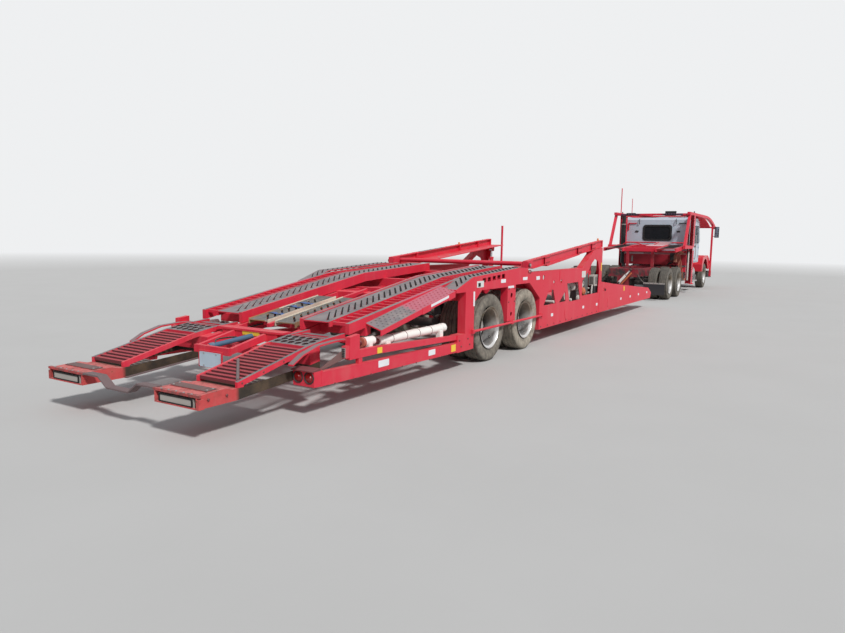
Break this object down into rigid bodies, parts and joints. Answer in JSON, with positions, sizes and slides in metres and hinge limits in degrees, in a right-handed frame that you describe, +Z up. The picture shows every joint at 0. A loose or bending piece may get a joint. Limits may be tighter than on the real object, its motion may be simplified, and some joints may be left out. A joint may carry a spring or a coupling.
{
  "type": "car transporter truck",
  "caption": "Articulated car transporter: a conventional tractor with a head rack over its cab, hinged to a low trailer with sloped rear tracks and an upper ramp.",
  "frame": {"origin": "on the ground, at the middle of the whole length and width", "axes": "+X forward, +Y to the left, +Z up"},
  "size_m": [25.46, 2.9, 3.57],
  "materials": {
    "red_paint": "faded gloss paint",
    "deck_steel": "worn grip coating",
    "worn_red": "worn paint with rust",
    "chassis_black": "satin",
    "tyre_rubber": "dusty",
    "rim_metal": "polished, dusty",
    "white_paint": "satin, dusty",
    "cab_paint": "gloss",
    "hood_paint": "gloss",
    "steel_rod": "polished",
    "glass": "tinted",
    "cab_trim": "textured",
    "lamp_red": "clear red lens",
    "lamp_clear": "clear lens",
    "tank_metal": "brushed",
    "machinery": "oily",
    "black_plastic": "moulded"
  },
  "bodies": {
    "trailer": {"girder_left": "red_paint", "girder_right": "red_paint", "rear_frame": "red_paint", "low_deck": "red_paint", "rear_track_left": "deck_steel", "rear_track_right": "deck_steel", "tail_ramps": "red_paint", "tail_beams": "worn_red", "tail_frame": "red_paint", "tail_rails": "red_paint", "tail_lamps": "lamp_red", "side_cylinders": "white_paint", "side_rods": "red_paint", "power_unit": "machinery", "trailer_axles": "chassis_black", "skids": "deck_steel"},
    "upper_ramp": {"upper_ramp": "red_paint"},
    "ramp_barrels": {"ramp_barrels": "red_paint"},
    "ramp_rods": {"ramp_rods": "steel_rod"},
    "tractor": {"chassis": "chassis_black", "tractor_axles": "chassis_black", "engine": "machinery", "cab_shell": "cab_paint", "cab_glass": "glass", "cab_inside": "cab_trim", "bumper": "tank_metal", "fuel_tanks": "tank_metal", "stack": "black_plastic", "mirrors": "black_plastic", "rack_frame": "red_paint"},
    "knuckle_left": {"knuckle_left": "chassis_black"},
    "knuckle_right": {"knuckle_right": "chassis_black"},
    "door_left": {"door_left": "cab_paint", "door_glass_left": "glass"},
    "door_right": {"door_right": "cab_paint", "door_glass_right": "glass"},
    "hood": {"hood": "hood_paint", "headlamps": "lamp_clear"},
    "rack_deck": {"rack_deck": "deck_steel"},
    "tractor_deck": {"tractor_deck": "red_paint"},
    "trailer_rear_left": {"trailer_rear_left_tyres": "tyre_rubber", "trailer_rear_left_rim": "rim_metal"},
    "trailer_rear_right": {"trailer_rear_right_tyres": "tyre_rubber", "trailer_rear_right_rim": "rim_metal"},
    "trailer_front_left": {"trailer_front_left_tyres": "tyre_rubber", "trailer_front_left_rim": "rim_metal"},
    "trailer_front_right": {"trailer_front_right_tyres": "tyre_rubber", "trailer_front_right_rim": "rim_metal"},
    "drive_rear_left": {"drive_rear_left_tyres": "tyre_rubber", "drive_rear_left_rim": "rim_metal"},
    "drive_rear_right": {"drive_rear_right_tyres": "tyre_rubber", "drive_rear_right_rim": "rim_metal"},
    "drive_front_left": {"drive_front_left_tyres": "tyre_rubber", "drive_front_left_rim": "rim_metal"},
    "drive_front_right": {"drive_front_right_tyres": "tyre_rubber", "drive_front_right_rim": "rim_metal"},
    "steer_left": {"steer_left_tyre": "tyre_rubber", "steer_left_rim": "rim_metal"},
    "steer_right": {"steer_right_tyre": "tyre_rubber", "steer_right_rim": "rim_metal"}
  },
  "joints": [
    {"name": "hitch", "type": "hinge", "parent": "trailer", "child": "tractor", "pos_m": [2.78, 0, 0.38], "axis": [0, 0, 1], "range_deg": [-60, 60]},
    {"name": "trailer_rear_left_spin", "type": "hinge", "parent": "trailer", "child": "trailer_rear_left", "pos_m": [-7.96, 0.9875, 0.465], "axis": [0, 1, 0], "continuous": true},
    {"name": "trailer_rear_right_spin", "type": "hinge", "parent": "trailer", "child": "trailer_rear_right", "pos_m": [-7.96, -0.9875, 0.465], "axis": [0, 1, 0], "continuous": true},
    {"name": "trailer_front_left_spin", "type": "hinge", "parent": "trailer", "child": "trailer_front_left", "pos_m": [-6.72, 0.9875, 0.465], "axis": [0, 1, 0], "continuous": true},
    {"name": "trailer_front_right_spin", "type": "hinge", "parent": "trailer", "child": "trailer_front_right", "pos_m": [-6.72, -0.9875, 0.465], "axis": [0, 1, 0], "continuous": true},
    {"name": "drive_rear_left_spin", "type": "hinge", "parent": "tractor", "child": "drive_rear_left", "pos_m": [4.4, 0.9375, 0.465], "axis": [0, 1, 0], "continuous": true},
    {"name": "drive_rear_right_spin", "type": "hinge", "parent": "tractor", "child": "drive_rear_right", "pos_m": [4.4, -0.9375, 0.465], "axis": [0, 1, 0], "continuous": true},
    {"name": "drive_front_left_spin", "type": "hinge", "parent": "tractor", "child": "drive_front_left", "pos_m": [5.72, 0.9375, 0.465], "axis": [0, 1, 0], "continuous": true},
    {"name": "drive_front_right_spin", "type": "hinge", "parent": "tractor", "child": "drive_front_right", "pos_m": [5.72, -0.9375, 0.465], "axis": [0, 1, 0], "continuous": true},
    {"name": "steer_left_spin", "type": "hinge", "parent": "knuckle_left", "child": "steer_left", "pos_m": [11.15, 1.01, 0.465], "axis": [0, 1, 0], "continuous": true},
    {"name": "steer_right_spin", "type": "hinge", "parent": "knuckle_right", "child": "steer_right", "pos_m": [11.15, -1.01, 0.465], "axis": [0, 1, 0], "continuous": true},
    {"name": "steering_left", "type": "hinge", "parent": "tractor", "child": "knuckle_left", "pos_m": [11.15, 0.85, 0.465], "axis": [0, 0, 1], "range_deg": [-35, 35]},
    {"name": "door_left", "type": "hinge", "parent": "tractor", "child": "door_left", "pos_m": [9.892, 1.084, 1.39], "axis": [0, 0, -1], "range_deg": [0, 70]},
    {"name": "steering_right", "type": "hinge", "parent": "tractor", "child": "knuckle_right", "pos_m": [11.15, -0.85, 0.465], "axis": [0, 0, 1], "range_deg": [-35, 35]},
    {"name": "door_right", "type": "hinge", "parent": "tractor", "child": "door_right", "pos_m": [9.892, -1.084, 1.39], "axis": [0, 0, 1], "range_deg": [0, 70]},
    {"name": "hood_tilt", "type": "hinge", "parent": "tractor", "child": "hood", "pos_m": [12.11, 0, 0.66], "axis": [0, 1, 0], "range_deg": [0, 45]},
    {"name": "tractor_deck_lift", "type": "hinge", "parent": "tractor", "child": "tractor_deck", "pos_m": [7.34, 0, 1.55], "axis": [0, 1, 0], "range_deg": [0, 10]},
    {"name": "rack_deck_lift", "type": "hinge", "parent": "tractor", "child": "rack_deck", "pos_m": [12.66, 0, 2.3293], "axis": [0, 1, 0], "range_deg": [0, 8]},
    {"name": "upper_ramp_lift", "type": "hinge", "parent": "trailer", "child": "upper_ramp", "pos_m": [-6.69, 0, 1.29], "axis": [0, -1, 0], "range_deg": [0, 11]},
    {"name": "ramp_barrel_turn", "type": "hinge", "parent": "trailer", "child": "ramp_barrels", "pos_m": [-3.16, 0, 0.43], "axis": [0, -1, 0], "range_deg": [0, 4.72]},
    {"name": "ramp_rod_slide", "type": "slide", "parent": "ramp_barrels", "child": "ramp_rods", "axis": [0.0571, 0, 0.9984], "range_m": [0, 0.6813]}
  ],
  "couplings": [
    {"joint": "steering_right", "follows": "steering_left", "ratio": 1},
    {"joint": "ramp_barrel_turn", "follows": "upper_ramp_lift", "ratio": 0.42427},
    {"joint": "ramp_rod_slide", "follows": "upper_ramp_lift", "m_per_rad": 3.5436}
  ]
}
